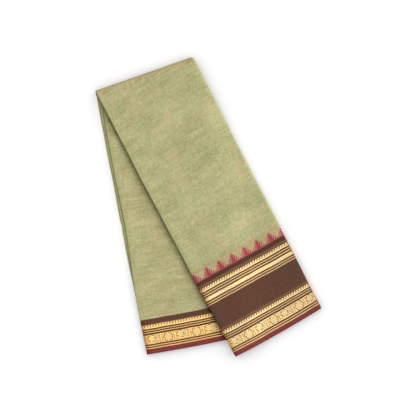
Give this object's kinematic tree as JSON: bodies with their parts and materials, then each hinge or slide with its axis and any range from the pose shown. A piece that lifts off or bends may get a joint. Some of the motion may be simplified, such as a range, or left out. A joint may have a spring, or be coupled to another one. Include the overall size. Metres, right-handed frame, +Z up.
{
  "type": "folded cotton sari",
  "caption": "Cotton sari folded lengthwise into a narrow strip and laid over itself in a fan of two legs, its woven borders at the lower ends.",
  "frame": {"origin": "on the ground, under the middle of the part's box", "axes": "+Z up; the fold across the strip runs along X at the far side, +Y; both legs run from it towards -Y"},
  "size_m": [0.3596, 0.5934, 0.0223],
  "materials": {
    "cotton": "matt plain-woven cotton in sage green with brown, gold and maroon borders"
  },
  "bodies": {
    "root": {"sari": "cotton"}
  },
  "joints": []
}
